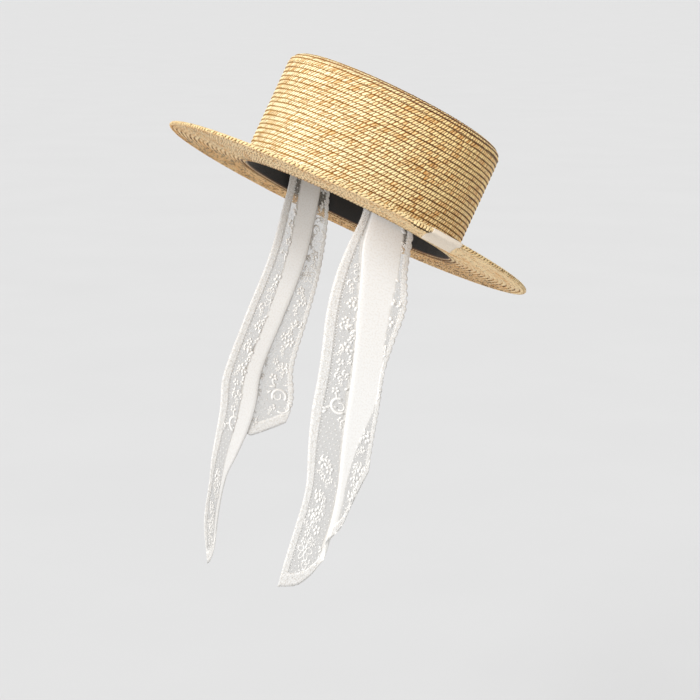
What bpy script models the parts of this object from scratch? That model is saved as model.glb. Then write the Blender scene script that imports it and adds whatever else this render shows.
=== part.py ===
"""Straw boater with two lace ties, held as on a head.

The origin is the centre of the head opening, in the plane of the brim's underside.
The front of the hat looks along -Y, the wearer's left is +X, and the hat is tipped back.
"""
import math

import bmesh
import bpy

# Head opening, between the straw walls
OPENING_WIDTH = 0.1650
OPENING_DEPTH = 0.2010

# Crown
CROWN_HEIGHT = 0.1023
CROWN_WALL = 0.0022
CORNER_RADIUS = 0.0095
TOP_RISE = 0.0015
TOP_SEAM_HALF_WIDTH = 0.0040

# Brim
BRIM_WIDTH = 0.0690
BRIM_WALL = 0.0024

# How far the whole hat is tipped back, in degrees
HAT_TILT = 27.5

# Clearance between pieces that touch
SEAT_GAP = 0.0003

# Sweatband
BAND_HEIGHT = 0.0300
BAND_WALL = 0.0012
BAND_LIFT = 0.0010

# Loose end of the outermost braid row, with angles from the wearer's left toward the back
BRAID_WIDTH = 0.0043
END_THICKNESS = 0.0024
END_LENGTH = 0.0240
END_ANGLE = 0.8

# Plain tab folded over the brim's edge, just behind the braid end, with its droop in degrees
TAB_WIDTH = 0.0310
TAB_WALL = 0.0008
TAB_TOP_REACH = 0.0080
TAB_FLAP = 0.0120
TAB_DROOP = 32.0
TAB_END_GAP = 0.0010

# Lace ties
TIE_WALL = 0.0010
TIE_LENGTH = 0.3200
TIE_WIDTH = 0.1000
TIE_TOP_INSIDE = 0.0180
TIE_BAND_GAP = 0.0004
TIE_LAYER_STEP = 0.0030
TIE_WAVE = 0.0016
TIE_HANG_INSET = 0.0030
TIE_FREE_DROP = 0.0500

# Fineness of the faceted surfaces
OVAL_SEGMENTS = 72
CORNER_STEPS = 5
TIE_ROWS = 30
# Half of each fold's turn, as a share of the cloth's width
FOLD_TURN = 0.045

# Each tie row: height as a share of TIE_LENGTH, then the places of the front edge, the first
# fold, the second fold and the back edge as shares of TIE_WIDTH, positive toward the back
LEFT_TIE_ROWS = (
    (0.14, -0.17, 0.13, -0.12, 0.27),
    (0.03, -0.21, 0.14, -0.15, 0.27),
    (-0.06, -0.35, 0.13, -0.24, 0.24),
    (-0.145, -0.47, 0.09, -0.25, 0.19),
    (-0.24, -0.56, 0.03, -0.28, 0.18),
    (-0.33, -0.60, -0.03, -0.31, 0.06),
    (-0.40, -0.63, -0.06, -0.34, -0.03),
    (-0.49, -0.68, -0.12, -0.37, -0.08),
    (-0.59, -0.72, -0.24, -0.395, -0.13),
    (-0.69, -0.75, -0.33, -0.41, -0.18),
    (-0.78, -0.83, -0.41, -0.47, -0.26),
    (-0.96, -1.01, -0.62, -0.68, -0.44),
)
RIGHT_TIE_ROWS = (
    (0.14, -0.20, 0.12, -0.08, 0.22),
    (0.03, -0.26, 0.09, -0.12, 0.19),
    (-0.15, -0.42, -0.04, -0.24, 0.12),
    (-0.33, -0.63, -0.24, -0.42, -0.02),
    (-0.47, -0.83, -0.45, -0.62, -0.17),
    (-0.56, -0.88, -0.52, -0.69, -0.18),
    (-0.63, -0.93, -0.60, -0.76, -0.28),
    (-0.70, -0.97, -0.71, -0.82, -0.40),
    (-0.76, -0.99, -0.81, -0.87, -0.50),
    (-0.88, -1.04, -0.90, -0.94, -0.60),
    (-1.02, -0.995, -0.965, -0.97, -0.66),
)
# Cut ends: share of the cloth's width from the front edge, and how low the cloth hangs there
LEFT_TIE_CUT = ((0.0, 0.95), (0.22, 0.955), (0.43, 0.945), (0.66, 0.92), (0.84, 0.84), (1.0, 0.75))
RIGHT_TIE_CUT = ((0.0, 1.015), (0.22, 1.0), (0.38, 0.94), (0.55, 0.66), (0.75, 0.645), (1.0, 0.62))
# Share of the cloth's width that lies before the first fold and before the second fold
LEFT_TIE_FOLDS = (0.43, 0.66)
RIGHT_TIE_FOLDS = (0.38, 0.55)

STRAW_COLOUR = (0.62, 0.45, 0.22, 1.0)
BAND_COLOUR = (0.012, 0.010, 0.009, 1.0)
TAB_COLOUR = (0.80, 0.70, 0.56, 1.0)
LACE_COLOUR = (0.85, 0.83, 0.80, 1.0)

HALF_WIDTH = OPENING_WIDTH / 2
HALF_DEPTH = OPENING_DEPTH / 2
BRIM_INNER_REACH = CROWN_WALL + SEAT_GAP
BRIM_OUTER_REACH = CROWN_WALL + BRIM_WIDTH
TILT = math.radians(HAT_TILT)


def clear_scene():
    """Remove everything that the file opened with."""
    for item in list(bpy.data.objects):
        bpy.data.objects.remove(item, do_unlink=True)


def material(name, colour, roughness):
    """Return a plain material with the given colour and roughness."""
    made = bpy.data.materials.new(name)
    made.use_nodes = True
    shader = made.node_tree.nodes["Principled BSDF"]
    shader.inputs["Base Color"].default_value = colour
    shader.inputs["Roughness"].default_value = roughness
    shader.inputs["Metallic"].default_value = 0.0
    return made


def finish(name, shape, look, parent=None):
    """Turn a bmesh into a smooth named object with its material."""
    bmesh.ops.recalc_face_normals(shape, faces=shape.faces)
    mesh = bpy.data.meshes.new(name)
    shape.to_mesh(mesh)
    shape.free()
    mesh.shade_smooth()
    mesh.set_sharp_from_angle(angle=math.radians(40))
    mesh.materials.append(look)
    made = bpy.data.objects.new(name, mesh)
    bpy.context.scene.collection.objects.link(made)
    made.parent = parent
    return made


def on_oval(reach, angle):
    """Return the plan point that lies outside the opening's edge by reach, at an angle."""
    across = (HALF_WIDTH + reach) * math.cos(angle)
    along = (HALF_DEPTH + reach) * math.sin(angle)
    return across, along


def spin_oval(profile, closed):
    """Turn a profile of (reach, height) points round the oval opening."""
    shape = bmesh.new()
    line = [shape.verts.new((HALF_WIDTH + reach, 0.0, height)) for reach, height in profile]
    pairs = list(zip(line, line[1:]))
    if closed:
        pairs.append((line[-1], line[0]))
    edges = [shape.edges.new(pair) for pair in pairs]
    bmesh.ops.spin(
        shape, geom=line + edges, cent=(0, 0, 0), axis=(0, 0, 1),
        angle=2 * math.pi, steps=OVAL_SEGMENTS, use_merge=True,
    )
    bmesh.ops.remove_doubles(shape, verts=shape.verts, dist=1e-6)
    for vertex in shape.verts:
        turn = math.atan2(vertex.co.y, vertex.co.x)
        vertex.co.y += (HALF_DEPTH - HALF_WIDTH) * math.sin(turn)
    if not closed:
        rims = [edge for edge in shape.edges if edge.is_boundary]
        bmesh.ops.holes_fill(shape, edges=rims, sides=0)
    return shape


def top_height(reach, outer):
    """Return the height of the gently raised top at a reach, on its outer or inner side."""
    edge_reach = CROWN_WALL - CORNER_RADIUS
    share = (edge_reach - reach) / (HALF_WIDTH + edge_reach)
    rise = TOP_RISE * (1 - (1 - share) ** 2)
    return CROWN_HEIGHT + rise - (0 if outer else CROWN_WALL)


def crown_side(outer):
    """Return the profile from the foot to the top's middle, on the outer or inner side."""
    reach = CROWN_WALL if outer else 0.0
    radius = CORNER_RADIUS if outer else CORNER_RADIUS - CROWN_WALL
    corner = CROWN_WALL - CORNER_RADIUS
    points = [(reach, CROWN_HEIGHT * share) for share in (0.0, 0.3, 0.6)]
    for step in range(CORNER_STEPS + 1):
        turn = math.pi / 2 * step / CORNER_STEPS
        height = CROWN_HEIGHT - CORNER_RADIUS + radius * math.sin(turn)
        points.append((corner + radius * math.cos(turn), height))
    middle = TOP_SEAM_HALF_WIDTH - HALF_WIDTH
    for share in (0.35, 0.7, 1.0):
        place = corner + (middle - corner) * share
        points.append((place, top_height(place, outer)))
    return points


def make_crown(look, tipped):
    """Make the hollow crown, open below, with its round corner and slightly raised top."""
    outside = crown_side(True)
    inside = crown_side(False)
    profile = list(reversed(outside)) + inside
    return finish("crown", spin_oval(profile, closed=False), look, tipped)


def make_brim(look, tipped):
    """Make the flat brim with a rounded outer edge."""
    radius = BRIM_WALL / 2
    profile = [(BRIM_INNER_REACH, BRIM_WALL), (BRIM_INNER_REACH, 0.0)]
    middle = (BRIM_INNER_REACH + BRIM_OUTER_REACH) / 2
    profile.append((middle, 0.0))
    for step in range(5):
        turn = -math.pi / 2 + math.pi * step / 4
        reach = BRIM_OUTER_REACH - radius + radius * math.cos(turn)
        profile.append((reach, radius + radius * math.sin(turn)))
    profile.append((middle, BRIM_WALL))
    return finish("brim", spin_oval(profile, closed=True), look, tipped)


def make_sweatband(look, tipped):
    """Make the band that lines the foot of the crown."""
    outer = -SEAT_GAP
    inner = outer - BAND_WALL
    top = BAND_LIFT + BAND_HEIGHT
    chamfer = BAND_WALL / 3
    profile = [
        (outer, top), (outer, BAND_LIFT), (inner + chamfer, BAND_LIFT),
        (inner, BAND_LIFT + chamfer), (inner, top - chamfer), (inner + chamfer, top),
    ]
    return finish("sweatband", spin_oval(profile, closed=True), look, tipped)


def edge_angle(length):
    """Return the angle that a length spans along the brim's edge at the wearer's left."""
    return length / (HALF_DEPTH + BRIM_OUTER_REACH)


def make_braid_end(look, tipped):
    """Make the looped-back end of the outermost braid row, under the brim's edge."""
    # Each section: share of the length, share of the width, share of the thickness
    sections = (
        (0.0, 0.35, 0.25), (0.15, 0.75, 0.45), (0.40, 1.0, 0.75), (0.65, 1.0, 0.95),
        (0.85, 1.0, 1.0), (0.95, 0.85, 0.8), (1.0, 0.45, 0.4),
    )
    shape = bmesh.new()
    rings = []
    finish_angle = math.radians(END_ANGLE)
    middle_reach = BRIM_OUTER_REACH - BRIM_WALL / 2 - BRAID_WIDTH / 2
    for length_share, width_share, thickness_share in sections:
        angle = finish_angle - edge_angle(END_LENGTH * (1 - length_share))
        half_width = BRAID_WIDTH / 2 * width_share
        thickness = END_THICKNESS * thickness_share
        ring = []
        for step in range(10):
            turn = 2 * math.pi * step / 10
            reach = middle_reach + half_width * math.cos(turn)
            height = -SEAT_GAP - thickness / 2 + thickness / 2 * math.sin(turn)
            ring.append(shape.verts.new((*on_oval(reach, angle), height)))
        rings.append(ring)
    for ring, following in zip(rings, rings[1:]):
        for step in range(10):
            after = (step + 1) % 10
            shape.faces.new((ring[step], ring[after], following[after], following[step]))
    shape.faces.new(rings[0])
    shape.faces.new(rings[-1])
    return finish("braid_end", shape, look, tipped)


def sheet_grid(rows):
    """Make a quad grid from rows of points."""
    shape = bmesh.new()
    made = [[shape.verts.new(point) for point in row] for row in rows]
    for row, following in zip(made, made[1:]):
        for column in range(len(row) - 1):
            shape.faces.new(
                (row[column], row[column + 1], following[column + 1], following[column]))
    return shape


def thicken(target, thickness):
    """Give a sheet its thickness, half to each side."""
    solid = target.modifiers.new("thickness", "SOLIDIFY")
    solid.thickness = thickness
    solid.offset = 0.0
    solid.use_even_offset = True


def make_label_tab(look, tipped):
    """Make the plain cloth tab that folds round the brim's edge, with its lower flap hanging free."""
    lift = SEAT_GAP + TAB_WALL / 2
    edge_radius = BRIM_WALL / 2
    centre = BRIM_OUTER_REACH - edge_radius
    droop = math.radians(TAB_DROOP)
    path = []
    for step in range(4):
        share = 1 - step / 4
        reach = centre - TAB_FLAP * math.cos(droop) * share
        path.append((reach, -lift - TAB_FLAP * math.sin(droop) * share ** 2))
    for step in range(7):
        turn = -math.pi / 2 + math.pi * step / 6
        reach = centre + (edge_radius + lift) * math.cos(turn)
        path.append((reach, edge_radius + (edge_radius + lift) * math.sin(turn)))
    path.append((centre - TAB_TOP_REACH, BRIM_WALL + lift))
    middle_angle = math.radians(END_ANGLE) + edge_angle(TAB_END_GAP + TAB_WIDTH / 2)
    rows = []
    for reach, height in path:
        row = []
        for column in range(7):
            offset = TAB_WIDTH * (column / 6 - 0.5)
            angle = middle_angle + offset / (HALF_DEPTH + reach)
            row.append((*on_oval(reach, angle), height))
        rows.append(row)
    tab = finish("label_tab", sheet_grid(rows), look, tipped)
    thicken(tab, TAB_WALL)
    return tab


def smooth_value(table, place, column):
    """Read a column of a table at a place, smoothly between its rows."""
    keys = [row[0] for row in table]
    values = [row[column] for row in table]
    if keys[0] > keys[-1]:
        keys.reverse()
        values.reverse()
    place = min(max(place, keys[0]), keys[-1])
    index = max(i for i in range(len(keys) - 1) if keys[i] <= place)
    span = keys[index + 1] - keys[index]
    slopes = []
    for i in (index, index + 1):
        before = max(i - 1, 0)
        after = min(i + 1, len(keys) - 1)
        slopes.append((values[after] - values[before]) / (keys[after] - keys[before]) * span)
    t = (place - keys[index]) / span
    return (
        values[index] * (2 * t ** 3 - 3 * t ** 2 + 1)
        + slopes[0] * (t ** 3 - 2 * t ** 2 + t)
        + values[index + 1] * (3 * t ** 2 - 2 * t ** 3)
        + slopes[1] * (t ** 3 - t ** 2)
    )


def eased(share):
    """Return a share from 0 to 1 with soft ends."""
    share = min(max(share, 0.0), 1.0)
    return share * share * (3 - 2 * share)


def across_tie(cloth_share, folds, edges):
    """Return where the cloth lies between its edges, and in which layer."""
    front, first, second, back = edges
    first_share, second_share = folds
    if cloth_share < first_share:
        place = front + (first - front) * cloth_share / first_share
    elif cloth_share < second_share:
        part = (cloth_share - first_share) / (second_share - first_share)
        place = first + (second - first) * part
    else:
        part = (cloth_share - second_share) / (1 - second_share)
        place = second + (back - second) * part
    layer = eased((cloth_share - first_share + FOLD_TURN) / (2 * FOLD_TURN))
    layer += eased((cloth_share - second_share + FOLD_TURN) / (2 * FOLD_TURN))
    return place, layer


def tie_columns(folds):
    """Return the cloth shares of the tie's columns, closer together at the folds."""
    first, second = folds
    near = [FOLD_TURN * step / 2 for step in range(-2, 3)]
    shares = [0.0, first * 0.33, first * 0.66]
    shares += [first + step for step in near]
    shares += [second + step for step in near]
    shares += [second + (1 - second) * 0.4, second + (1 - second) * 0.7, 1.0]
    return shares


def band_room(along, height):
    """Return how far from the middle the sweatband's inner side is, at a world place."""
    hat_along = along * math.cos(TILT) - height * math.sin(TILT)
    depth = HALF_DEPTH - SEAT_GAP - BAND_WALL
    width = HALF_WIDTH - SEAT_GAP - BAND_WALL
    return width * math.sqrt(max(1 - (hat_along / depth) ** 2, 0.0))


def tie_point(side, table, cut, folds, row_share, cloth_share):
    """Return the world point of a tie's middle surface."""
    top_edges = [smooth_value(table, table[0][0], column) * TIE_WIDTH for column in range(1, 5)]
    top_along, _ = across_tie(cloth_share, folds, top_edges)
    top = (TIE_TOP_INSIDE - top_along * math.sin(TILT)) / math.cos(TILT)
    bottom = -smooth_value(cut, cloth_share, 1) * TIE_LENGTH
    height = top + (bottom - top) * row_share
    place = height / TIE_LENGTH
    edges = [smooth_value(table, place, column) * TIE_WIDTH for column in range(1, 5)]
    along, layer = across_tie(cloth_share, folds, edges)
    inset = TIE_BAND_GAP + TIE_WALL / 2 + (2 - layer) * TIE_LAYER_STEP
    hat_height = along * math.sin(TILT) + height * math.cos(TILT)
    free = eased(-hat_height / TIE_FREE_DROP)
    seated = band_room(along, height) - inset
    wave = TIE_WAVE * math.sin(5 * math.pi * place + 2.5 * cloth_share)
    hung = HALF_WIDTH - TIE_HANG_INSET - inset + wave
    out = seated + (hung - seated) * free
    return side * out, along, height


def make_tie(name, side, table, cut, folds, look):
    """Make one lace ribbon, folded lengthwise in three layers, hanging from the opening."""
    rows = []
    for row in range(TIE_ROWS + 1):
        share = row / TIE_ROWS
        points = [tie_point(side, table, cut, folds, share, place) for place in tie_columns(folds)]
        rows.append(points)
    tie = finish(name, sheet_grid(rows), look)
    thicken(tie, TIE_WALL)
    return tie


def main():
    """Build the hat in its worn place."""
    clear_scene()
    tipped = bpy.data.objects.new("tipped_hat", None)
    bpy.context.scene.collection.objects.link(tipped)
    tipped.rotation_euler.x = -TILT
    make_crown(material("crown_straw", STRAW_COLOUR, 0.55), tipped)
    make_brim(material("brim_straw", STRAW_COLOUR, 0.55), tipped)
    make_braid_end(material("braid_end_straw", STRAW_COLOUR, 0.55), tipped)
    make_label_tab(material("tab_cloth", TAB_COLOUR, 0.85), tipped)
    make_sweatband(material("band_cloth", BAND_COLOUR, 0.8), tipped)
    make_tie(
        "tie_left", 1, LEFT_TIE_ROWS, LEFT_TIE_CUT, LEFT_TIE_FOLDS,
        material("left_lace", LACE_COLOUR, 0.9))
    make_tie(
        "tie_right", -1, RIGHT_TIE_ROWS, RIGHT_TIE_CUT, RIGHT_TIE_FOLDS,
        material("right_lace", LACE_COLOUR, 0.9))


main()
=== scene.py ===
"""Looks of the straw boater: sewn straw braid, plain tab, inner band and lace ties."""
import itertools
import math
import random

import bmesh
import bpy
import numpy as np
from mathutils import Matrix, Vector


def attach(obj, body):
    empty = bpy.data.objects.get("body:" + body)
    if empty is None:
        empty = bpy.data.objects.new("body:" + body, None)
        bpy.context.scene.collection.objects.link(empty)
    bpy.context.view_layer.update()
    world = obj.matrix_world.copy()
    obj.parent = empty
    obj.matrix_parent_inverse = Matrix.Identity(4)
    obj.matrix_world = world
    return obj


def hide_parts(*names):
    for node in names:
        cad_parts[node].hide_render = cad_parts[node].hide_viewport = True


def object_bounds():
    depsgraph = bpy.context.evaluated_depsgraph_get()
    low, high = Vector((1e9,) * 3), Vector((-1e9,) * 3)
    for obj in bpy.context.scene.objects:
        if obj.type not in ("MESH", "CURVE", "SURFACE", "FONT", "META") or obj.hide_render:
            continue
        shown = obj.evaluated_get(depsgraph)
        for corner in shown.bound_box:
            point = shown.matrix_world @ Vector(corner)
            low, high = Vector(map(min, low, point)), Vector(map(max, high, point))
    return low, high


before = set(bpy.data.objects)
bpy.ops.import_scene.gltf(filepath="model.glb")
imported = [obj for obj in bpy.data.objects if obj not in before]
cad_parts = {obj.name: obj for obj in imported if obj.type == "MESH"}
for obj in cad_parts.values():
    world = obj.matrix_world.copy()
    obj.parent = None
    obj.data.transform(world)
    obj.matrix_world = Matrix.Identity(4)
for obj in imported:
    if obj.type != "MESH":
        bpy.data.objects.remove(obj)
CAD_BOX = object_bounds()

# The hat's own sizes, in metres
HALF_WIDTH = 0.0825
HALF_DEPTH = 0.1005
LONGER = HALF_DEPTH - HALF_WIDTH
CROWN_HEIGHT = 0.1023
CROWN_WALL = 0.0022
CORNER_RADIUS = 0.0095
TOP_RISE = 0.0015
BRIM_WIDTH = 0.0690
BRIM_WALL = 0.0024
BRIM_EDGE = CROWN_WALL + BRIM_WIDTH
HAT_TILT = math.radians(27.5)
TILT_SIN, TILT_COS = math.sin(HAT_TILT), math.cos(HAT_TILT)
SEAT_GAP = 0.0003

# The ribbon band inside the crown's foot, and the piping along its lower edge
BAND_HEIGHT = 0.0300
BAND_WALL = 0.0012
BAND_LIFT = 0.0010
BAND_THREAD = 0.0008
PIPING_RADIUS = 0.0007
PIPING_DROP = 0.0002
PIPING_THREAD = 0.0004
RING_STEPS = 288

# The looped-back plaited end of the outermost row
END_ANGLE = math.radians(0.8)
END_LENGTH = 0.0240
END_THICKNESS = 0.0024
END_HALF_WIDTH = 0.0026
END_HALF_HEIGHT = 0.0028
END_ROUND = 0.0030
END_ROOT_SIZE = 0.25
END_LEAST_SIZE = 0.02
END_RELIEF = 0.10
END_SLANT = 0.003
END_LOOP = 0.0011
END_GROOVE = 0.0008
END_COLUMNS = 96
END_STRAND = 12

# The plain cloth tab
TAB_WIDTH = 0.0310
TAB_WALL = 0.0008
TAB_TOP_REACH = 0.0080
TAB_FLAP = 0.0120
TAB_DROOP = math.radians(32)
TAB_END_GAP = 0.0010
TAB_THREAD = 0.0005

# The straw braid, and how far its strands stray, lean and stand proud
ROW_PITCH = 0.0041
STRAND_PITCH = 0.0030
STRAND_SLANT = 0.0034
STRAND_STRAY = 0.22
STRAND_LEANS = (0.65, 1.35)
STRAND_RELIEFS = (0.5, 1.4)
GROOVE_TUCK = 0.07
ROW_WAVER = 0.07
WAVER_LENGTH = 0.012
SPIRAL_STEPS = 4000
FOOT_SINK = 0.0004
UNDER_RELIEF = 0.85
MAP_SHRINK = 0.004

# The beads of straw along the brim's edge
EDGE_STRAND = 0.0038
EDGE_COLUMNS = 6
EDGE_SIDES = 8
EDGE_OUT = 0.0020
EDGE_HIGH = 0.0016
EDGE_SLANT = 0.35
EDGE_ROW_PLACE = 0.35
BEAD_WAIST = 0.84

# Each point across a row: place from the proud edge to the tucked edge as a share of the row,
# height above the hat's surface, and how much of the strand relief it carries
ROW_SECTION = (
    (-0.05, -0.00040, 0.1),
    (0.03, 0.00050, 0.9),
    (0.32, 0.00062, 1.0),
    (0.70, 0.00020, 1.0),
    (1.10, -0.00055, 0.2),
)
# Height of the four columns of one strand, from its groove over its back
STRAND_SECTION = (-0.00030, 0.00006, 0.00020, 0.00012)

# How far the floor lies under the ties, and how bright the room and the backdrop are
FLOOR_GAP = 0.40
ROOM_LIGHT = 0.60
BACKDROP = 0.77

# The ties, and the cloth that they are folded from
TIE_WALL = 0.0010
TIE_LENGTH = 0.3200
TIE_WIDTH = 0.1000
TIE_TOP_INSIDE = 0.0180
TIE_BAND_GAP = 0.0004
TIE_LAYER_STEP = 0.0016
TIE_WAVE = 0.0016
TIE_WAVES = 5
WAVE_SLANT = 2.5
TIE_HANG_INSET = 0.0030
TIE_FREE_DROP = 0.0500
FOLD_TURN = 0.045
STACK_EDGE = 0.0010
CLOTH_WIDTH = 0.105
CLOTH_LENGTH = 0.330
NET_PITCH = 0.0011
FRONT_HEM = 0.0088
BACK_HEM = 0.0050
END_HEM = 0.0112
SCALLOP_LENGTH = 0.0100
SCALLOP_DEPTH = 0.0012
LOOP_PITCH = 0.0024
HEM_WALL = 0.00035
LACE_WALL = 0.00040

# Each row: height as a share of the tie's length, then the front edge, first fold,
# second fold and back edge as shares of the tie's width, positive toward the back.
# The cut is how low the cloth ends at shares of its own width, and the folds are such shares
LEFT_TIE = {
    "side": 1,
    "slot": "left_lace",
    "rows": (
        (0.14, -0.17, 0.13, -0.12, 0.27), (0.03, -0.21, 0.14, -0.15, 0.27),
        (-0.06, -0.35, 0.13, -0.24, 0.24), (-0.145, -0.47, 0.09, -0.25, 0.19),
        (-0.24, -0.56, 0.03, -0.28, 0.18), (-0.33, -0.60, -0.03, -0.31, 0.06),
        (-0.40, -0.63, -0.06, -0.34, -0.03), (-0.49, -0.68, -0.13, -0.38, -0.08),
        (-0.59, -0.72, -0.27, -0.415, -0.13), (-0.69, -0.75, -0.38, -0.455, -0.18),
        (-0.78, -0.83, -0.46, -0.525, -0.22), (-0.96, -1.01, -0.66, -0.70, -0.44),
    ),
    "cut": (
        (0.0, 0.95), (0.22, 0.952), (0.34, 0.932), (0.43, 0.895), (0.66, 0.84), (0.78, 0.805),
        (0.84, 0.75), (1.0, 0.665),
    ),
    "folds": (0.43, 0.66),
}
RIGHT_TIE = {
    "side": -1,
    "slot": "right_lace",
    "rows": (
        (0.14, -0.20, 0.12, -0.08, 0.22), (0.03, -0.26, 0.09, -0.12, 0.19),
        (-0.15, -0.44, -0.06, -0.26, 0.12), (-0.33, -0.685, -0.29, -0.465, -0.04),
        (-0.47, -0.88, -0.50, -0.665, -0.17), (-0.56, -0.91, -0.56, -0.72, -0.18),
        (-0.63, -0.945, -0.635, -0.78, -0.28), (-0.70, -0.985, -0.74, -0.845, -0.40),
        (-0.76, -1.01, -0.84, -0.89, -0.50), (-0.88, -1.075, -0.935, -0.97, -0.60),
        (-1.02, -1.035, -1.00, -1.01, -0.66),
    ),
    "cut": ((0.0, 1.0), (0.22, 0.985), (0.38, 0.93), (0.55, 0.66), (0.75, 0.645), (1.0, 0.62)),
    "folds": (0.38, 0.55),
}


def node(tree, kind, inputs=None, **settings):
    """Add a shader node, set its options and link or fill its inputs."""
    made = tree.nodes.new("ShaderNode" + kind)
    for name, value in settings.items():
        setattr(made, name, value)
    for name, value in (inputs or {}).items():
        socket = made.inputs[name]
        if isinstance(value, bpy.types.NodeSocket):
            tree.links.new(value, socket)
        else:
            socket.default_value = value
    return made


def maths(tree, operation, first, second=0.0, third=0.0):
    """Add a Math node and return its result."""
    inputs = {0: first, 1: second, 2: third}
    return node(tree, "Math", inputs, operation=operation).outputs[0]


def axes_of(tree, vector):
    """Split a vector and return its parts."""
    return node(tree, "SeparateXYZ", {0: vector}).outputs


def blend(tree, amount, low, high, how="MIX"):
    """Mix two colours by an amount and return the result."""
    inputs = {0: amount, 6: low, 7: high}
    return node(tree, "Mix", inputs, data_type="RGBA", blend_type=how).outputs[2]


def ramp(tree, value, low, high, start=0.0, end=1.0):
    """Map a value smoothly from low..high to start..end."""
    inputs = {0: value, 1: low, 2: high, 3: start, 4: end}
    return node(tree, "MapRange", inputs, interpolation_type="SMOOTHSTEP").outputs[0]


def noise(tree, place, scale, detail=3.0):
    """Add a noise texture and return its value."""
    return node(tree, "TexNoise", {"Vector": place, "Scale": scale, "Detail": detail}).outputs[0]


def white_noise(tree, value):
    """Add a chance from 0 to 1 that is its own for each value."""
    return node(tree, "TexWhiteNoise", {"W": value}, noise_dimensions="1D").outputs[0]


def new_group(name, inputs, outputs):
    """Start a shader node group with sockets named by kind, and return it with its two ends."""
    group = bpy.data.node_groups.new(name, "ShaderNodeTree")
    for way, sockets in (("INPUT", inputs), ("OUTPUT", outputs)):
        for kind, labels in sockets.items():
            for label in labels:
                group.interface.new_socket(label, in_out=way, socket_type="NodeSocket" + kind)
    start = group.nodes.new("NodeGroupInput")
    end = group.nodes.new("NodeGroupOutput")
    return group, start.outputs, end.inputs


def plaited_straw_group():
    """Colour, roughness and relief of plaited straw, one strand for each whole step of U."""
    tree, given, made = new_group(
        "plaited straw",
        {"Vector": ("Braid", "Place"),
         "Color": ("Pale straw", "Golden straw", "Strand shade", "Row gap shade"),
         "Float": ("Row", "Mottle", "Row tone", "Darker gap shade", "Painted side light")},
        {"Color": ("Colour",), "Float": ("Roughness", "Height")})
    axes = axes_of(tree, given["Braid"])
    strand = maths(tree, "FLOOR", axes["X"])
    across = maths(tree, "FRACT", axes["X"])
    chance = white_noise(tree, strand)
    apart = 0.37
    second_chance = white_noise(tree, maths(tree, "ADD", strand, apart))
    fine = node(tree, "CombineXYZ", {
        0: maths(tree, "MULTIPLY", axes["X"], 8.0),
        1: maths(tree, "MULTIPLY", axes["Y"], 1.6),
        2: maths(tree, "MULTIPLY", strand, apart)}).outputs[0]
    streak = noise(tree, fine, 1.0)
    patch = noise(tree, given["Place"], 55.0)
    back = maths(tree, "SINE", maths(tree, "MULTIPLY", across, math.pi))
    row = node(
        tree, "TexNoise", {"W": given["Row"], "Scale": 1.7, "Detail": 1.0},
        noise_dimensions="1D").outputs[0]
    # The straw's tone: each strand's own, its streaks, a painted highlight on its back, its row and
    # soft patches
    tone = maths(tree, "MULTIPLY_ADD", chance, 0.42, maths(tree, "MULTIPLY", streak, 0.8))
    tone = maths(tree, "MULTIPLY_ADD", back, 0.50, tone)
    tone = maths(tree, "MULTIPLY_ADD", maths(tree, "SUBTRACT", row, 0.5), given["Row tone"], tone)
    tone = maths(tree, "MULTIPLY_ADD", maths(tree, "SUBTRACT", patch, 0.5), given["Mottle"], tone)
    tone = ramp(tree, tone, 0.56, 1.13)
    straw = blend(tree, tone, given["Golden straw"], given["Pale straw"])
    # The shade between the strands, and small dark specks
    rolled = ramp(tree, back, 0.0, 0.65)
    speck = ramp(tree, noise(tree, given["Place"], 420.0, 1.0), 0.60, 0.70)
    rolled = maths(tree, "MULTIPLY_ADD", speck, -0.55, rolled)
    straw = blend(tree, rolled, given["Strand shade"], straw)
    # Painted shade in the gap along each row's proud edge, widest between the first rows, and at
    # its tucked edge
    lip_width = maths(tree, "MULTIPLY", row, 0.20)
    lip_width = maths(tree, "MULTIPLY_ADD", second_chance, 0.16, lip_width)
    lip_width = maths(tree, "MULTIPLY_ADD", maths(tree, "SUBTRACT", 1.0, back), 0.22, lip_width)
    first_rows = ramp(tree, given["Row"], 0.9, 2.4, given["Darker gap shade"], 0.0)
    lip_width = maths(tree, "MULTIPLY_ADD", first_rows, 0.45, lip_width)
    lip = ramp(tree, axes["Y"], 0.0, lip_width)
    tuck = ramp(tree, axes["Y"], 1.02, 0.86)
    shown = maths(tree, "MULTIPLY", lip, tuck)
    # Painted light: the gaps are painted lighter toward the lit front, and the straw warmer and
    # deeper toward the shaded back
    toward_back = axes_of(tree, given["Place"])["Y"]
    lit_front_gaps = ramp(tree, toward_back, -0.13, 0.05, given["Painted side light"], 0.0)
    lit_front_gaps = maths(tree, "MULTIPLY", lit_front_gaps, 0.78)
    gap = blend(tree, lit_front_gaps, given["Row gap shade"], given["Golden straw"])
    # Painted shade: the gaps of some strands, and those between the first rows, take the darker
    # strand shade
    scattered = ramp(tree, second_chance, 0.62, 0.78, 0.0, given["Darker gap shade"])
    dark = maths(tree, "MAXIMUM", scattered, first_rows)
    straw = blend(tree, shown, blend(tree, dark, gap, given["Strand shade"]), straw)
    # Painted light: a cool pale tint on the lit front, a warm deep tint on the shaded back
    lit_front_tint, shaded_back_tint = (1.0, 1.04, 1.12, 1), (1.10, 0.88, 0.61, 1)
    side_light_tint = blend(tree, ramp(tree, toward_back, -0.13, 0.11), lit_front_tint, shaded_back_tint)
    tree.links.new(blend(tree, given["Painted side light"], straw, side_light_tint, "MULTIPLY"), made["Colour"])
    tree.links.new(ramp(tree, streak, 0.3, 0.7, 0.30, 0.55), made["Roughness"])
    relief = maths(tree, "MULTIPLY_ADD", streak, 0.5, maths(tree, "MULTIPLY", back, 0.5))
    tree.links.new(relief, made["Height"])
    return tree


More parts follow.
